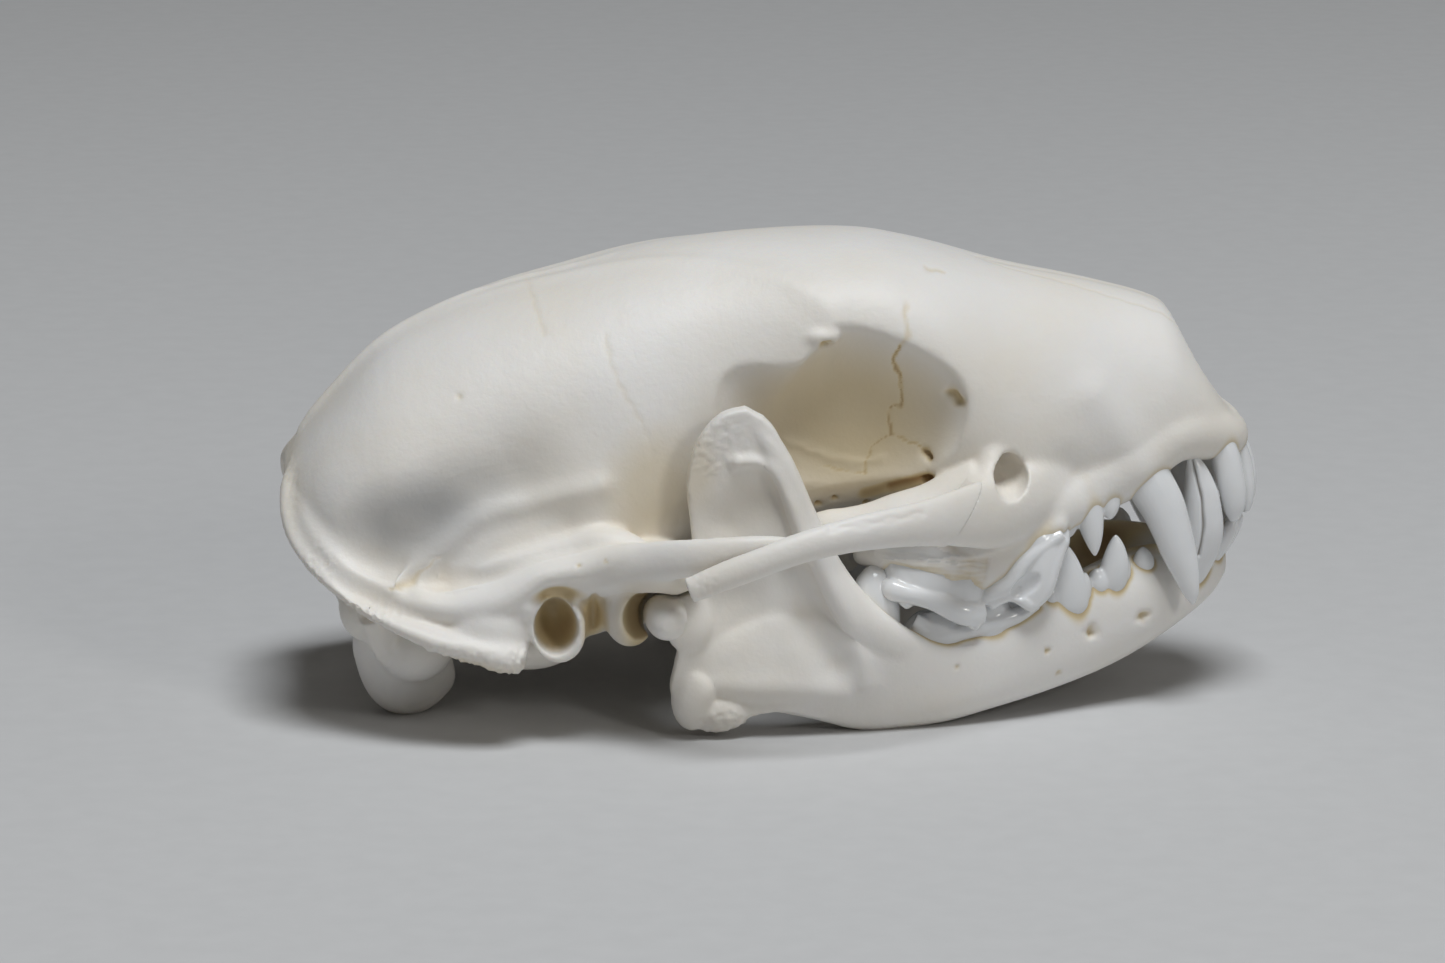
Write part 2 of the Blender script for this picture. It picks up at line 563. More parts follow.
# Lines, ridges and pits: view, limits along it, half width, height, stain (0 to 1), and the path.
CRANIUM_STROKES = (
    # suture between squamosal and parietal
    ("side", WHOLE, 0.95, 0.4, 0, (
        (-26.8, 12.9), (-26.0, 13.5), (-24.6, 14.8), (-22.9, 16.4),
        (-21.1, 17.3), (-19.2, 17.7), (-16.5, 18.4), (-13.4, 19.1),
    )),
    ("side", WHOLE, 0.14, -0.06, 0.25, ((-29.1, 11.7), (-27.8, 12.2), (-26.3, 13.0), (-25.2, 13.8))),
    ("side", WHOLE, 1.5, -0.35, 0, ((-24.6, 12.8), (-22.0, 14.6), (-19.0, 15.9), (-16.0, 16.5))),
    # other sutures of the braincase
    ("side", WHOLE, 0.2, -0.03, 0.08, ((-18.2, 32.4), (-17.9, 31.6), (-17.5, 30.6), (-17.2, 29.6))),
    ("side", WHOLE, 0.2, -0.03, 0.08, (
        (-12.7, 29.4), (-12.3, 27.7), (-11.6, 26.0), (-10.3, 23.8), (-9.4, 21.2), (-9.6, 19.6),
    )),
    # cracks and sutures of the orbit's wall
    ("side", WHOLE, 0.18, -0.03, 0.2, ((9.6, 31.7), (9.4, 30.8), (9.6, 29.6), (9.0, 28.7))),
    ("side", WHOLE, 0.13, -0.06, 0.78, (
        (9.0, 28.7), (8.7, 27.6), (9.1, 26.5), (9.4, 25.3),
        (9.4, 23.9), (8.8, 23.7), (8.5, 22.8), (8.6, 21.6),
    )),
    ("side", WALL, 0.12, -0.04, 0.6, ((8.6, 21.6), (7.8, 21.0), (7.3, 20.6), (6.9, 19.7), (6.7, 18.8))),
    ("side", WALL, 0.12, -0.04, 0.55, ((8.6, 21.6), (9.6, 21.3), (10.4, 21.0), (10.9, 20.6))),
    ("side", WALL, 0.12, -0.04, 0.45, ((6.7, 18.8), (6.2, 18.7), (5.3, 18.8), (3.6, 19.2))),
    ("side", WALL, 0.3, 0.14, 0.0, ((0.7, 21.2), (4.0, 19.9), (6.2, 19.5), (8.0, 19.8))),
    # foramina of the orbit and the groove that leads to one
    ("side", ORBIT_EDGE, 0.42, -0.5, 0.5, ((12.9, 25.1), (13.3, 24.6))),
    ("side", WALL, 0.3, -0.6, 0.8, ((11.1, 20.4), (11.3, 20.1))),
    ("side", WALL, 0.28, -0.8, 1.0, ((11.0, 18.35), (11.4, 18.4))),
    ("side", WALL, 0.5, -0.25, 0.9, ((8.6, 17.5), (9.6, 17.9), (10.6, 18.3), (11.2, 18.45))),
    ("side", WALL, 0.6, -0.1, 0.6, ((6.8, 17.0), (8.0, 17.4), (9.3, 17.9))),
    ("side", WALL, 0.18, -0.4, 0.9, ((3.3, 16.2), (3.35, 16.2))),
    ("side", WALL, 0.18, -0.4, 0.9, ((4.5, 16.6), (4.55, 16.6))),
    ("side", WALL, 0.18, -0.4, 0.9, ((6.9, 16.0), (6.95, 16.1))),
    ("side", ORBIT_EDGE, 0.3, -0.5, 0.6, ((3.5, 28.9), (3.8, 28.9))),
    # striations over the upper molar
    *(
        ("side", (9, 99), 0.16, -0.16, 0.12, (
            (6.5 + 0.6 * k, 13.6 - 0.45 * k), (12.0, 13.0 - 0.42 * k), (15.4, 12.7 - 0.4 * k),
        ))
        for k in range(5)
    ),
    # small mark on the forehead, and pinholes over the ear
    ("side", WHOLE, 0.12, -0.06, 0.18, ((11.3, 33.8), (12.0, 33.5), (12.8, 33.4))),
    ("side", WHOLE, 0.13, -0.12, 0.4, ((-15.1, 14.0), (-15.05, 14.0))),
    ("side", WHOLE, 0.13, -0.12, 0.4, ((-13.2, 14.4), (-13.15, 14.4))),
    ("side", WHOLE, 0.22, -0.1, 0.16, ((-23.6, 25.4), (-23.5, 25.4))),
    # root of the canine, and the dip behind it
    ("side", WHOLE, 1.7, 0.45, 0, ((27.4, 18.6), (26.0, 21.4), (24.0, 24.4))),
    ("side", WHOLE, 1.8, -0.4, 0, ((21.8, 18.8), (23.6, 17.6))),
    # soft dent in the braincase
    ("side", WHOLE, 3.4, -1.5, 0, ((-29.6, 14.6), (-26.2, 15.6), (-22.6, 17.8), (-19.4, 19.2))),
    ("side", WHOLE, 3.0, -0.35, 0, ((-20.0, 21.0), (-15.0, 22.6))),
    # temporal lines and low crest of the roof
    ("top", WHOLE, 0.8, 0.14, 0, (
        (3.8, 10.4), (0.0, 7.6), (-6.0, 4.6), (-14.0, 2.4), (-24.0, 0.9), (-34.0, 0.3),
    )),
    *(("top", WHOLE, 0.6, 0.08, 0, ((start, 0.0), (-35.0, 0.0))) for start in (-12.0, -15.0, -18.0, -22.0)),
    # sutures of the nose bones
    ("top", WHOLE, 0.5, -0.08, 0.05, ((30.5, 0.0), (16.0, 0.0))),
    ("top", WHOLE, 0.14, -0.05, 0.1, ((30.5, 3.0), (24.0, 2.6), (17.5, 1.2), (15.8, 0.0))),
)
# Stained places: centre, radii and amount, brown above 0 and grey below it.
CRANIUM_STAINS = (
    ((5.0, 9.0, 22.6), (11.0, 3.2, 8.5), 0.34),  # wall of the orbit
    ((-9.4, 12.6, 18.6), (4.4, 3.0, 5.5), 0.2),  # behind the ramus
    ((-36.0, 0.0, 17.0), (1.6, 12.0, 5.0), 0.14),  # crest at the back
    ((-24.0, 16.2, 6.2), (6.0, 2.6, 1.3), 0.22),
    ((-9.0, 15.0, 12.6), (4.0, 5.0, 1.6), 0.3),  # roof of the jaw joint
    ((23.0, 7.0, 15.0), (6.0, 3.0, 2.4), 0.2),
    ((-16.6, 13.4, 8.7), (2.3, 2.9, 2.4), 0.7),  # inside the ear tube
    ((-16.6, 15.2, 11.5), (2.6, 2.2, 0.9), 0.5),
    ((-10.4, 14.4, 9.6), (2.4, 5.0, 3.6), 0.62),  # face of the jaw joint
    ((-28.0, 0.0, 8.4), (5.0, 4.6, 4.0), 0.6),  # foramen magnum
    ((26.5, 0.0, 24.0), (6.0, 3.7, 4.6), 0.6),  # inside the nose
    ((24.0, 0.0, 16.6), (10.0, 6.0, 2.6), 0.4),  # roof of the mouth
    ((-27.4, 13.6, 16.6), (5.8, 5.0, 4.2), -0.5),  # grey dent in the braincase
    ((-22.8, 13.6, 18.9), (6.0, 5.0, 3.6), -0.35),
    ((10.2, 13.0, 13.0), (5.4, 2.4, 2.2), -0.45),  # bone over the molar
    ((-14.0, 14.4, 9.0), (1.4, 3.4, 3.2), 0.5),  # recess behind the jaw joint
)
# Places with rough bone: centre, radii and amount.
CRANIUM_ROUGH = (
    ((-24.5, 15.8, 6.8), (5.6, 3.4, 1.7), 1.0),
    ((-19.8, 16.2, 6.2), (2.4, 3.0, 2.0), 0.9),
    ((-30.4, 13.4, 9.8), (3.6, 3.0, 1.6), 0.7),
    ((-33.8, 10.4, 12.6), (2.4, 3.0, 2.6), 0.4),
    ((-35.9, 4.0, 16.6), (1.2, 7.0, 3.6), 0.2),
    ((-29.4, 10.6, 5.6), (1.6, 1.6, 3.0), 0.6),  # jugular process
    ((11.5, 15.0, 14.2), (3.0, 3.0, 1.6), 0.25),
    ((36.0, 2.4, 20.8), (1.6, 4.0, 1.2), 0.2),
)
JAW_STROKES = (
    # mental foramina and small pits
    ("side", WHOLE, 0.4, -0.6, 0.35, ((23.8, 6.3), (23.9, 6.2))),
    ("side", WHOLE, 0.36, -0.55, 0.35, ((27.9, 7.0), (28.1, 7.1))),
    ("side", WHOLE, 0.2, -0.25, 0.4, ((20.3, 5.3), (20.35, 5.3))),
    ("side", WHOLE, 0.2, -0.2, 0.3, ((13.2, 4.8), (13.25, 4.8))),
    ("side", WHOLE, 0.2, -0.2, 0.3, ((21.3, 3.4), (21.35, 3.4))),
    # recess of the coronoid process and the rim round it
    ("side", (13, 99), 1.7, -0.75, 0, ((-3.6, 16.6), (-1.9, 18.6))),
    ("side", (13, 99), 0.5, 0.5, 0, (
        (-3.4, 21.2), (-2.0, 21.2), (-0.8, 20.6), (0.2, 18.8), (1.0, 16.9), (1.8, 14.6),
    )),
    # ridge in front of the masseteric fossa, the fossa behind it, and the swelling along the lower edge
    ("side", JAW_FACE, 0.9, 0.5, 0, ((1.8, 14.6), (3.0, 12.6), (4.6, 9.2), (5.8, 6.0), (6.4, 4.0))),
    ("side", JAW_FACE, 1.4, -0.8, 0, ((1.0, 12.6), (2.4, 8.6), (4.0, 5.6))),
    ("side", JAW_FACE, 2.6, -0.35, 0, ((-3.6, 10.5), (-1.0, 8.0))),
    ("side", JAW_FACE, 1.0, 0.3, 0, ((-5.0, 4.0), (-2.6, 3.9), (1.0, 3.7), (4.4, 3.3))),
)
JAW_STAINS = (
    ((-6.4, 15.0, 20.6), (2.0, 3.0, 4.0), 0.14),
    ((23.5, 3.2, 10.4), (9.0, 3.0, 5.0), 0.75),  # inner face, which the mouth shades
)
JAW_ROUGH = (
    ((-4.8, 15.6, 22.4), (2.9, 2.0, 2.9), 0.4),
    ((-4.2, 15.2, 1.2), (2.8, 2.4, 1.3), 0.7),
    ((-1.5, 15.0, 2.2), (5.0, 2.0, 1.4), 0.14),
)
CHEEK_STROKES = (
    ("side", WHOLE, 0.3, -0.1, 0, ((3.0, 17.6), (10.0, 18.0))),
)
CHEEK_ROUGH = (
    ((-6.6, 22.0, 13.4), (2.2, 2.0, 1.6), 0.2),
    ((9.5, 18.6, 15.4), (4.0, 2.0, 1.0), 0.12),
)
TOOTH_STROKES = (
    # crack down the outer side of the lower canine
    ("side", WHOLE, 0.1, -0.3, 0.55, (
        (31.75, 18.7), (32.0, 17.4), (32.35, 16.2), (32.5, 14.8), (32.55, 13.2), (32.3, 11.4),
    )),
)
ROOT_SHARE, ROOT_MOST = 0.4, 3.0  # length of a root, as a share of the crown and at most in millimetres
ROOT_SIZE = 0.75  # thickness of the root beside that of the crown
CROWN_TOP = 0.985  # share of the way to the tip at which the crown is closed
BONE_RELIEF, ENAMEL_RELIEF = 60, 40  # smoothing steps that the relief of a surface is read against
UPPER_GUM_STAIN, LOWER_GUM_STAIN = 0.3, 0.6

# The camera, in metres and radians, looks at the skull's right side as the photo does.
CAMERA_LENS, CAMERA_SENSOR = 147.4, 36
CAMERA_AZIMUTH, CAMERA_ELEVATION = math.radians(-4), math.radians(13)
CAMERA_DISTANCE = 0.45
CAMERA_TARGET = Vector((-0.00335, 0, 0.0162))
FLOOR_SIZE = 3  # half side, in metres


def curve_through(rows, count):
    """A smooth line through rows of numbers, as count rows (Catmull-Rom)."""
    rows = np.array(rows, float)
    padded = np.vstack([2 * rows[0] - rows[1], rows, 2 * rows[-1] - rows[-2]])
    line = []
    for t in np.linspace(0, len(rows) - 1, count):
        i = min(int(t), len(rows) - 2)
        f = t - i
        a, b, c, d = padded[i : i + 4]
        line.append(
            0.5 * (2 * b + (c - a) * f + (2 * a - 5 * b + 4 * c - d) * f**2 + (3 * b - a - 3 * c + d) * f**3)
        )
    return line


def add_rings(bm, rings):
    """Joins rings of points into one closed shell, with a flat cap at each end."""
    loops = [[bm.verts.new(point) for point in ring] for ring in rings]
    faces = [bm.faces.new(loops[0]), bm.faces.new(loops[-1][::-1])]
    for near, far in zip(loops, loops[1:]):
        for i in range(len(near)):
            faces.append(bm.faces.new((near[i - 1], near[i], far[i], far[i - 1])))
    bmesh.ops.recalc_face_normals(bm, faces=faces)


def angles(count):
    """Even steps round a circle."""
    return [2 * math.pi * k / count for k in range(count)]


def oval(angle, power):
    """One point of a unit oval, which is a circle for a power of 2 and square-shouldered above it."""
    c, s = math.cos(angle), math.sin(angle)
    return math.copysign(abs(c) ** (2 / power), c), math.copysign(abs(s) ** (2 / power), s)


def add_body(bm, sections, count):
    """An upright-sectioned body, alike on both sides of the middle plane."""
    rings = []
    for x, half_width, top, widest, bottom, square_top, square_bottom in curve_through(sections, count):
        ring = []
        for angle in angles(SECTION_POINTS):
            across, up = oval(angle, square_top if math.sin(angle) > 0 else square_bottom)
            height = top - widest if up > 0 else widest - bottom
            ring.append((x, across * half_width, widest + up * height))
        rings.append(ring)
    add_rings(bm, rings)


def add_bar(bm, path, side, count, points=28, upward=(0, 0, 1)):
    """A bar along a path of (x, out, z, half thickness out, half height), upright along a direction."""
    rows = curve_through(path, count)
    centres = [Vector((r[0], side * r[1], r[2])) for r in rows]
    rings = []
    for i, row in enumerate(rows):
        along = (centres[min(i + 1, count - 1)] - centres[max(i - 1, 0)]).normalized()
        across = along.cross(Vector(upward)).normalized()
        up = across.cross(along)
        ring = []
        for angle in angles(points):
            ring.append(centres[i] + across * row[3] * math.cos(angle) + up * row[4] * math.sin(angle))
        rings.append(ring)
    add_rings(bm, rings)


def add_ball(bm, centre, radii, side=1, pitch=0.0, yaw=0.0, segments=40):
    """An ellipsoid, turned by pitch about Y and yaw about Z."""
    x, out, z = centre
    place = Matrix.Translation((x, side * out, z))
    turn = Matrix.Rotation(side * yaw, 4, "Z") @ Matrix.Rotation(-pitch, 4, "Y")
    size = Matrix.Diagonal((*radii, 1))
    bmesh.ops.create_uvsphere(
        bm, u_segments=segments, v_segments=segments // 2, radius=1, matrix=place @ turn @ size
    )


def add_cusp(bm, side, gum, tip, half_length, half_width, blend, bow, points=24, levels=18):
    """A cusp with its root: a cone with a rounded tip, flattened across the tooth row."""
    gum = Vector((gum[0], side * gum[1], gum[2]))
    tip = Vector((tip[0], side * tip[1], tip[2]))
    up = (tip - gum).normalized()
    forward = Vector((0, 1, 0)).cross(up).normalized()
    if forward.x < 0:
        forward.negate()
    across = up.cross(forward)
    height = (tip - gum).length
    root = min(ROOT_SHARE * height, ROOT_MOST)
    rings = []
    for t in (-root / height, *np.linspace(0, CROWN_TOP, levels)):
        size = ROOT_SIZE if t < 0 else (1 - t**blend) ** 0.75
        centre = gum.lerp(tip, t) + forward * bow * 4 * t * (1 - t) * (t > 0)
        ring = []
        for angle in angles(points):
            reach = forward * half_length * math.cos(angle) + across * half_width * math.sin(angle)
            ring.append(centre + reach * size)
        rings.append(ring)
    add_rings(bm, rings)


def add_horn(bm, path, side):
    """A tapering tooth along a path of (x, out, z, half length, half width)."""
    rows = [(x, out, z, half_width, half_length) for x, out, z, half_length, half_width in path]
    add_bar(bm, rows, side, count=40, upward=(1, 0, 0))


def teeth(name, cusps, horns, crests, basins, sides):
    """All the teeth of one piece, as one mesh of closed surfaces."""
    bm = bmesh.new()
    hollows = bmesh.new()
    for side in sides:
        for tooth in cusps.values():
            for cusp in tooth:
                add_cusp(bm, side, *cusp)
        for tooth in horns.values():
            add_horn(bm, tooth, side)
        for crest in crests:
            add_bar(bm, crest, side, count=24, points=16)
        for centre, radii, *turn in basins:
            add_ball(hollows, centre, radii, side, *turn)
    crowns = new_object(name, bm)
    remesh(crowns, TOOTH_VOXEL)
    carve(crowns, hollows, TOOTH_VOXEL)
    remesh(crowns, TOOTH_VOXEL)
    smooth(crowns, times=6)
    return crowns


def linked(name, data):
    """An object in the scene that holds the data."""
    obj = bpy.data.objects.new(name, data)
    bpy.context.scene.collection.objects.link(obj)
    return obj


def new_object(name, bm):
    mesh = bpy.data.meshes.new(name)
    bm.to_mesh(mesh)
    bm.free()
    return linked(name, mesh)


def apply_modifiers(obj):
    """Replaces the object's mesh by the one its modifiers give."""
    graph = bpy.context.evaluated_depsgraph_get()
    mesh = bpy.data.meshes.new_from_object(obj.evaluated_get(graph))
    old = obj.data
    obj.modifiers.clear()
    obj.data = mesh
    bpy.data.meshes.remove(old)
    mesh.name = obj.name


def remesh(obj, voxel):
    modifier = obj.modifiers.new("One skin", "REMESH")
    modifier.mode = "VOXEL"
    modifier.voxel_size = voxel
    apply_modifiers(obj)


def smooth(obj, times, factor=0.5):
    modifier = obj.modifiers.new("Soft edges", "SMOOTH")
    modifier.factor = factor
    modifier.iterations = times
    apply_modifiers(obj)


def boolean(obj, other, operation, keep=False):
    modifier = obj.modifiers.new(operation.title(), "BOOLEAN")
    modifier.operation = operation
    modifier.solver = "MANIFOLD"
    modifier.object = other
    apply_modifiers(obj)
    if not keep:
        bpy.data.objects.remove(other)


def carve(solid, bm, voxel):
    """Takes the shapes in the mesh out of the solid."""
    holes = new_object("holes", bm)
    remesh(holes, voxel)
    boolean(solid, holes, "DIFFERENCE")


def unite(solid, bm):
    """Adds the shapes in the mesh to the solid, which a remesh then makes one."""
    bm.from_mesh(solid.data)
    bm.to_mesh(solid.data)
    bm.free()


def keep_largest(obj):
    """Leaves only the largest closed surface of the mesh."""
    bm = bmesh.new()
    bm.from_mesh(obj.data)
    left = set(bm.verts)
    islands = []
    while left:
        found = {left.pop()}
        edge = list(found)
        while edge:
            near = {e.other_vert(v) for v in edge for e in v.link_edges} - found
            found |= near
            edge = list(near)
        left -= found
        islands.append(found)
    largest = max(islands, key=len)
    bmesh.ops.delete(bm, geom=[v for v in bm.verts if v not in largest], context="VERTS")
    bm.to_mesh(obj.data)
    bm.free()


def box_object(name, centre, size, turn=None):
    bm = bmesh.new()
    place = Matrix.Translation(centre) @ (turn or Matrix.Identity(4)) @ Matrix.Diagonal((*size, 1))
    bmesh.ops.create_cube(bm, size=1, matrix=place)
    return new_object(name, bm)


def beyond_suture(side, sign):
    """A block that starts at the suture plane: over the cheekbone for -1, over the maxilla for +1."""
    x, out, z = CHEEK_SUTURE
    ahead, outward, up = CHEEK_SUTURE_NORMAL
    normal = Vector((ahead, side * outward, up)).normalized()
    turn = normal.to_track_quat("X", "Z").to_matrix().to_4x4()
    centre = Vector((x, side * (out + SUTURE_BLOCK_SHIFT), z)) + normal * sign * SUTURE_BLOCK[0] / 2
    return box_object("suture", centre, SUTURE_BLOCK, turn)


def grown(obj, distance):
    """A copy of a solid, larger all round by a distance."""
    copy = linked(obj.name + " room", obj.data.copy())
    modifier = copy.modifiers.new("Room", "DISPLACE")
    modifier.strength = distance
    modifier.mid_level = 0
    apply_modifiers(copy)
    remesh(copy, ROOM_VOXEL)
    return copy


def cranium_bone():
    bm = bmesh.new()
    add_body(bm, CRANIUM_SECTIONS, count=90)
    for side in (RIGHT, LEFT):
        for path in (UPPER_TOOTH_RIM, NUCHAL_CREST, CREST_SLOPE, OCCIPITAL_CONDYLE):
            add_bar(bm, path, side, count=40)
        for shape in SKULL_BASE:
            add_ball(bm, *shape, side)
    bone = new_object("cranium_bone", bm)
    remesh(bone, BONE_VOXEL)
    smooth(bone, times=10)

    bm = bmesh.new()
    for side in (RIGHT, LEFT):
        add_bar(bm, SIDE_HOLLOW, side, count=50, points=48)
    carve(bone, bm, BONE_VOXEL)

    # what stands in front of the hollows
    bm = bmesh.new()
    for side in (RIGHT, LEFT):
        for path in FRONT_BARS:
            add_bar(bm, path, side, count=30)
        for shape in SIDE_LUMPS:
            add_ball(bm, *shape, side)
    unite(bone, bm)
    remesh(bone, BONE_VOXEL)
    smooth(bone, times=10)

    bm = bmesh.new()
    for shape in MIDDLE_HOLES:
        add_ball(bm, *shape)
    for side in (RIGHT, LEFT):
        for shape in (EAR_OPENING, *EAR_HOLLOWS):
            add_ball(bm, *shape, side)
        add_bar(bm, INFRAORBITAL, side, count=20)
        cup = [(x, out, z, wide + GAP, high + GAP) for x, out, z, wide, high in JAW_CONDYLE]
        add_bar(bm, cup, side, count=20)
    carve(bone, bm, BONE_VOXEL)

    bm = bmesh.new()
    for side in (RIGHT, LEFT):
        for path in NOSE_PLATES:
            add_bar(bm, path, side, count=20)
    unite(bone, bm)
    remesh(bone, BONE_VOXEL)
    smooth(bone, times=4)
    keep_largest(bone)
    return bone


def jugal_bone(name, side, room):
    """A cheekbone, cut back where it would come near the cranium."""
    bm = bmesh.new()
    add_bar(bm, JUGAL, side, count=40)
    bone = new_object(name, bm)
    remesh(bone, JUGAL_VOXEL)
    smooth(bone, times=6)
    rear = box_object("rear", centre=(-8, side * 20, 15), size=(24, 20, 20))
    boolean(rear, room, "INTERSECT", keep=True)
    boolean(bone, rear, "DIFFERENCE")
    remesh(bone, JUGAL_VOXEL)
    smooth(bone, times=3)
    boolean(bone, beyond_suture(side, 1), "DIFFERENCE")
    keep_largest(bone)
    return bone


def add_plate(bm, outline, side, count=80):
    """A plate of even thickness, cut to a smooth outline of (x, z)."""
    line = curve_through((*outline, outline[0]), count)[:-1]
    rings = []
    for face in (-RAMUS_THICKNESS / 2, RAMUS_THICKNESS / 2):
        ring = []
        for x, z in line:
            out = RAMUS_OUT - RAMUS_TURN * max(x, 0) + RAMUS_LEAN * (z - RAMUS_LEAN_LEVEL)
            ring.append((x, side * (out + face), z))
        rings.append(ring)
    add_rings(bm, rings)


def mandible_bone(name, side):
    bm = bmesh.new()
    rings = []
    for x, out, top, bottom, half in curve_through(JAW_BODY, count=40):
        ring = []
        for angle in angles(JAW_POINTS):
            across, up = oval(angle, JAW_SQUARENESS)
            ring.append((x, side * (out + across * half), (top + bottom) / 2 + up * (top - bottom) / 2))
        rings.append(ring)
    add_rings(bm, rings)
    add_plate(bm, RAMUS_OUTLINE, side)
    add_bar(bm, JAW_FRONT_EDGE, side, count=24)
    add_bar(bm, JAW_CONDYLE, side, count=16)
    for shape in JAW_BALLS:
        add_ball(bm, *shape, side)
    bone = new_object(name, bm)
    remesh(bone, JAW_VOXEL)
    smooth(bone, times=3)
    keep_largest(bone)
    return bone


def set_materials(obj, material):
    obj.data.materials.clear()
    obj.data.materials.append(material)
    obj.data.shade_smooth()


def put(tree, value, socket):
    """Links another node's output to an input, or sets the input to a plain value."""
    if isinstance(value, bpy.types.NodeSocket):
        tree.links.new(value, socket)
    else:
        socket.default_value = value


def bump(tree, **inputs):
    """The normal that a bump node gives, with its inputs set by name."""
    made = tree.nodes.new("ShaderNodeBump")
    for name, value in inputs.items():
        put(tree, value, made.inputs[name])
    return made.outputs[0]


def mix(tree, factor, first, second):
    """The colour mixed between two colours or colour sockets."""
    made = tree.nodes.new("ShaderNodeMix")
    made.data_type = "RGBA"
    for number, value in ((0, factor), (6, first), (7, second)):
        put(tree, value, made.inputs[number])
    return made.outputs[2]


def scaled(tree, value, low, high, to_low=0.0, to_high=1.0):
    """A value brought from one range to another, kept inside it."""
    made = tree.nodes.new("ShaderNodeMapRange")
    tree.links.new(value, made.inputs[0])
    for k, number in enumerate((low, high, to_low, to_high)):
        made.inputs[k + 1].default_value = number
    return made.outputs[0]


def noise(tree, place, scale, detail=3.0, rough=0.5):
    made = tree.nodes.new("ShaderNodeTexNoise")
    tree.links.new(place, made.inputs["Vector"])
    made.inputs["Scale"].default_value = scale
    made.inputs["Detail"].default_value = detail
    made.inputs["Roughness"].default_value = rough
    return made.outputs["Fac"]


def attribute(tree, name):
    made = tree.nodes.new("ShaderNodeAttribute")
    made.attribute_name = name
    return made.outputs["Fac"]


def new_material(name):
    """A material with its node tree, its shader and the object's own coordinates."""
    material = bpy.data.materials.new(name)
    material.use_nodes = True
    tree = material.node_tree
    place = tree.nodes.new("ShaderNodeTexCoord").outputs["Object"]
    return material, tree, tree.nodes["Principled BSDF"], place


def bone_material():
    """Dry bone: ivory in the hollows and brown in the deepest, whiter on the rises, with a fine grain."""
    material, tree, shader, place = new_material("bone")
    cloud = scaled(tree, noise(tree, place, scale=70, detail=4), 0.38, 0.62)
    colour = mix(tree, cloud, (0.84, 0.80, 0.73, 1), (0.87, 0.85, 0.82, 1))
    relief = attribute(tree, "relief")
    colour = mix(tree, scaled(tree, relief, -0.04, -0.6, 0.0, 0.75), colour, (0.66, 0.54, 0.35, 1))
    stain = attribute(tree, "stain")
    colour = mix(tree, scaled(tree, stain, 0.0, -1.0), colour, (0.33, 0.335, 0.34, 1))
    colour = mix(tree, scaled(tree, stain, 0.0, 0.4), colour, (0.70, 0.58, 0.36, 1))
    colour = mix(tree, scaled(tree, stain, 0.4, 1.0), colour, (0.34, 0.19, 0.07, 1))
    tree.links.new(colour, shader.inputs["Base Color"])
    shader.inputs["Roughness"].default_value = 0.5
    shader.inputs["Subsurface Weight"].default_value = 0.12
    shader.inputs["Subsurface Scale"].default_value = 0.0008
    shader.inputs["Subsurface Radius"].default_value = (1.0, 0.72, 0.45)
    waves = noise(tree, place, scale=500, rough=0.55)
    grain = noise(tree, place, scale=2600, rough=0.6)
    fine = bump(tree, Strength=0.4, Distance=0.00005, Height=grain)
    broad = bump(tree, Strength=0.5, Distance=0.00012, Height=waves, Normal=fine)
    tree.links.new(broad, shader.inputs["Normal"])
    return material


def enamel_material():
    """Enamel: cool white and glossy, yellower in its grooves, with a dark stain in the cracks."""
    material, tree, shader, place = new_material("enamel")
    cloud = scaled(tree, noise(tree, place, scale=260, detail=2), 0.3, 0.7)
    colour = mix(tree, cloud, (0.80, 0.81, 0.82, 1), (0.86, 0.87, 0.88, 1))
    groove = scaled(tree, attribute(tree, "relief"), -0.03, -0.3, 0.0, 0.75)
    colour = mix(tree, groove, colour, (0.66, 0.56, 0.40, 1))
    colour = mix(tree, attribute(tree, "stain"), colour, (0.10, 0.08, 0.06, 1))
    tree.links.new(colour, shader.inputs["Base Color"])
    shader.inputs["Roughness"].default_value = 0.2
    shader.inputs["Coat Weight"].default_value = 0.3
    shader.inputs["Coat Roughness"].default_value = 0.12
    shader.inputs["Subsurface Weight"].default_value = 0.25
    shader.inputs["Subsurface Scale"].default_value = 0.0012
    shader.inputs["Subsurface Radius"].default_value = (0.9, 0.8, 0.7)
    streaks = noise(tree, place, scale=1800, detail=2)
    fine = bump(tree, Strength=0.15, Distance=0.00003, Height=streaks)
    tree.links.new(fine, shader.inputs["Normal"])
    return material


def write_relief(obj, times):
    """Keeps at each vertex how far it stands above the smoothed surface, in millimetres, as "relief"."""
    soft = linked("soft", obj.data.copy())
    smooth(soft, times)
    before, normals = vertex_rows(obj, "co"), vertex_rows(obj, "normal")
    height = ((before - vertex_rows(soft, "co")) * normals).sum(1)
    obj.data.attributes.new("relief", "FLOAT", "POINT").data.foreach_set("value", height)
    mesh = soft.data
    bpy.data.objects.remove(soft)
    bpy.data.meshes.remove(mesh)


def vertex_rows(obj, name):
    rows = np.empty(len(obj.data.vertices) * 3)
    obj.data.vertices.foreach_get(name, rows)
    return rows.reshape(-1, 3)


def segment_distance(spots, line):
    """Distance in the plane from each spot to the nearest piece of a line."""
    best = np.full(len(spots), 1e9)
    for start, end in zip(line, line[1:]):
        along = end - start
        share = np.clip((spots - start) @ along / max(along @ along, 1e-9), 0, 1)
        best = np.minimum(best, np.linalg.norm(spots - start - share[:, None] * along, axis=1))
    return best


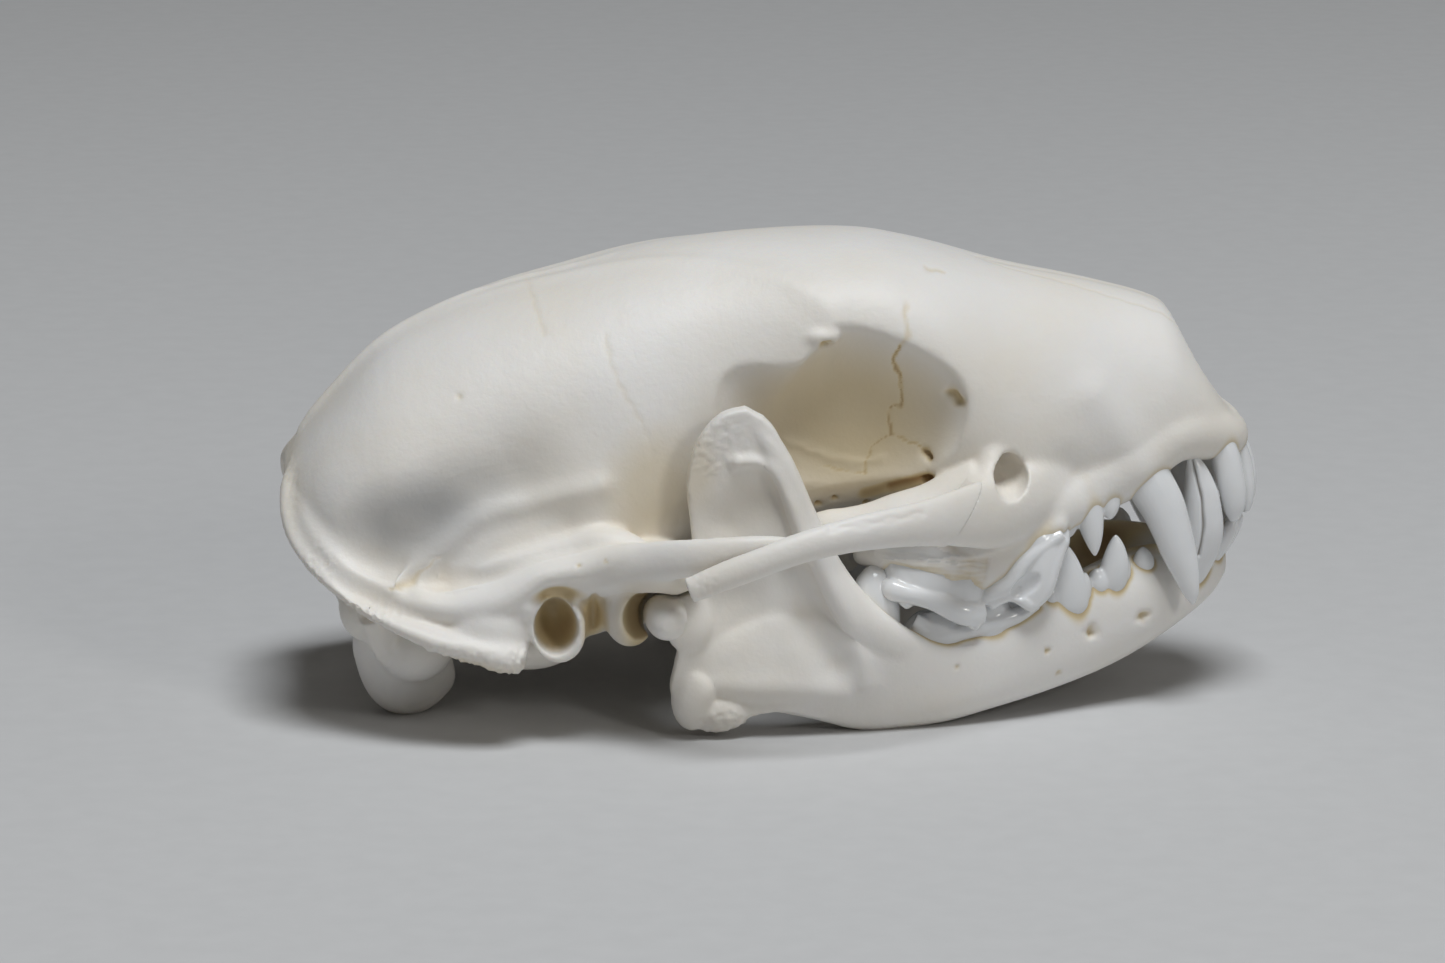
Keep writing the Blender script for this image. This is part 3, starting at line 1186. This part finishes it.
def work_surface(obj, strokes, stains, wander=WIGGLE):
    """Works lines, ridges and pits into the surface along its normals, and keeps how stained it is."""
    place, normal = vertex_rows(obj, "co"), vertex_rows(obj, "normal")
    moved, outward = place.copy(), normal.copy()
    outward[:, 1] *= np.sign(place[:, 1])
    place[:, 1] = abs(place[:, 1])
    lift, stain = np.zeros(len(place)), np.zeros(len(place))
    waves = wander * np.sin(moved[:, [2, 0]] * 2.3 + moved[:, [1, 1]] * 1.7)
    waves *= np.sin(moved[:, [0, 2]] * 5.1 + 1.0)
    for view, (low, high), width, height, tint, path in strokes:
        axes, depth, facing = VIEWS[view]
        line = np.array(path, float)
        if len(line) > 2:
            line = np.array(curve_through(line, 4 * len(line)))
        flat = place[:, axes]
        near = (flat > line.min(0) - 3 * width).all(1) & (flat < line.max(0) + 3 * width).all(1)
        near &= (place[:, depth] > low) & (place[:, depth] < high) & (outward[:, depth] * facing > 0)
        push = np.clip(outward[near, depth] * facing / FACING, 0, 1)
        push *= np.exp(-((segment_distance(flat[near] + waves[near] * (width < 0.5), line) / width) ** 2))
        lift[near] += height * push
        stain[near] = np.maximum(stain[near], tint * push)
    for centre, radii, amount in stains:
        reach = np.linalg.norm((place - centre) / radii, axis=1)
        tint = amount * np.clip(1.6 - 1.6 * reach, 0, 1)
        stain = np.where(tint > 0, np.maximum(stain, tint), stain + tint)
    moved += normal * lift[:, None]
    obj.data.vertices.foreach_set("co", moved.ravel())
    obj.data.update()
    obj.data.attributes.new("stain", "FLOAT", "POINT").data.foreach_set("value", stain)


def roughen(obj, regions):
    """Rough bone in ellipsoid regions of (centre, radii, amount), with grains of about GRAIN."""
    place = vertex_rows(obj, "co")
    place[:, 1] = abs(place[:, 1])
    weight = np.zeros(len(place))
    for centre, radii, amount in regions:
        reach = np.linalg.norm((place - centre) / radii, axis=1)
        weight = np.maximum(weight, amount * np.clip(2.5 - 2.5 * reach, 0, 1))
    group = obj.vertex_groups.new(name="rough")
    for index in np.nonzero(weight)[0]:
        group.add([int(index)], weight[index], "REPLACE")
    texture = bpy.data.textures.new("grains", "CLOUDS")
    texture.noise_scale = GRAIN
    texture.noise_depth = 2
    texture.intensity = 1.0
    modifier = obj.modifiers.new("Rough bone", "DISPLACE")
    modifier.texture = texture
    modifier.texture_coords = "LOCAL"
    modifier.vertex_group = group.name
    modifier.strength = GRAIN_HEIGHT
    modifier.mid_level = 0.5
    apply_modifiers(obj)
    obj.vertex_groups.clear()


def stain_gums(bone, crowns, amount):
    """Yellow-brown line where the bone meets the teeth."""
    tree = kdtree.KDTree(len(crowns.data.vertices))
    for index, vertex in enumerate(crowns.data.vertices):
        tree.insert(vertex.co, index)
    tree.balance()
    crown = vertex_rows(crowns, "co")
    place = vertex_rows(bone, "co")
    near = ((place > crown.min(0) - 1) & (place < crown.max(0) + 1)).all(1)
    stain = np.empty(len(place))
    bone.data.attributes["stain"].data.foreach_get("value", stain)
    for index in np.nonzero(near)[0]:
        distance = tree.find(place[index])[2]
        if distance < 2 * GUM_LINE:
            stain[index] = max(stain[index], amount * math.exp(-((distance / GUM_LINE) ** 2)))
    bone.data.attributes["stain"].data.foreach_set("value", stain)


def finish_piece(obj, material, relief, *nodes):
    """Brings a piece to metres, gives it its material and puts it in the place of CAD nodes."""
    write_relief(obj, relief)
    obj.data.transform(Matrix.Scale(MM_TO_M, 4))
    set_materials(obj, material)
    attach(obj, "root")
    if nodes:
        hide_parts(*nodes)


def camera():
    data = bpy.data.cameras.new("camera")
    data.lens = CAMERA_LENS
    data.sensor_width = CAMERA_SENSOR
    obj = linked("camera", data)
    level = math.cos(CAMERA_ELEVATION)
    along, across = math.sin(CAMERA_AZIMUTH) * level, -math.cos(CAMERA_AZIMUTH) * level
    back = Vector((along, across, math.sin(CAMERA_ELEVATION)))
    obj.location = CAMERA_TARGET + back * CAMERA_DISTANCE
    obj.rotation_euler = (-back).to_track_quat("-Z", "Y").to_euler()
    bpy.context.scene.camera = obj


def area_light(name, place, target, size, power, colour):
    data = bpy.data.lights.new(name, "AREA")
    data.size = size
    data.energy = power
    data.color = colour
    obj = linked(name, data)
    obj.location = place
    obj.rotation_euler = (Vector(target) - Vector(place)).to_track_quat("-Z", "Y").to_euler()


def studio():
    """Pale floor, soft light from above and a little from the front."""
    bm = bmesh.new()
    bmesh.ops.create_grid(bm, x_segments=2, y_segments=2, size=FLOOR_SIZE)
    floor = new_object("floor", bm)
    material, tree, shader, place = new_material("paper")
    shade = scaled(tree, noise(tree, place, scale=400), 0.3, 0.7)
    colour = mix(tree, shade, (0.60, 0.60, 0.60, 1), (0.62, 0.62, 0.62, 1))
    tree.links.new(colour, shader.inputs["Base Color"])
    shader.inputs["Roughness"].default_value = 0.85
    set_materials(floor, material)
    above = {"place": (0.08, -0.28, 1.0), "target": (0, 0, 0.01)}
    area_light("sky light", **above, size=0.4, power=7.6, colour=(0.94, 0.97, 1.0))
    ahead = {"place": (0.5, -0.75, 0.45), "target": (0, 0, 0.02)}
    area_light("front light", **ahead, size=0.16, power=1.1, colour=(1.0, 0.97, 0.92))
    world = bpy.data.worlds.new("soft room")
    world.use_nodes = True
    background = world.node_tree.nodes["Background"]
    background.inputs["Color"].default_value = (1.0, 0.95, 0.88, 1)
    background.inputs["Strength"].default_value = 0.06
    bpy.context.scene.world = world
    bpy.context.scene.view_settings.view_transform = "Standard"


def main():
    for obj in list(bpy.data.objects):
        bpy.data.objects.remove(obj)
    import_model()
    bone, enamel = bone_material(), enamel_material()
    cranium = cranium_bone()
    crowns = teeth("upper_teeth", UPPER_CUSPS, UPPER_HORNS, UPPER_CRESTS, UPPER_BASINS, (RIGHT, LEFT))
    room = grown(cranium, ROOM)
    for name, side in (("right", RIGHT), ("left", LEFT)):
        jugal = jugal_bone(f"cheekbone_{name}", side, room)
        roughen(jugal, CHEEK_ROUGH)
        work_surface(jugal, CHEEK_STROKES, ())
        finish_piece(jugal, bone, BONE_RELIEF, f"jugal_{name}")
        boolean(cranium, beyond_suture(side, -1), "DIFFERENCE")
        jaw = mandible_bone(f"jaw_{name}", side)
        lower = teeth(f"lower_teeth_{name}", LOWER_CUSPS, LOWER_HORNS, LOWER_CRESTS, LOWER_BASINS, (side,))
        boolean(jaw, room, "DIFFERENCE", keep=True)
        remesh(jaw, JAW_VOXEL)
        smooth(jaw, times=2)
        roughen(jaw, JAW_ROUGH)
        for solid in (jaw, lower):
            middle = box_object("middle", centre=(30, -side * 5, 10), size=(40, 10 + GAP, 40))
            boolean(solid, middle, "DIFFERENCE")
        work_surface(jaw, JAW_STROKES, JAW_STAINS)
        work_surface(lower, TOOTH_STROKES, (), wander=0.04)
        stain_gums(jaw, lower, LOWER_GUM_STAIN)
        finish_piece(jaw, bone, BONE_RELIEF, f"mandible_{name}")
        finish_piece(lower, enamel, ENAMEL_RELIEF)
    bpy.data.objects.remove(room)
    roughen(cranium, CRANIUM_ROUGH)
    work_surface(cranium, CRANIUM_STROKES, CRANIUM_STAINS)
    work_surface(crowns, (), ())
    stain_gums(cranium, crowns, UPPER_GUM_STAIN)
    finish_piece(cranium, bone, BONE_RELIEF, "cranium")
    finish_piece(crowns, enamel, ENAMEL_RELIEF)
    camera()
    studio()


main()
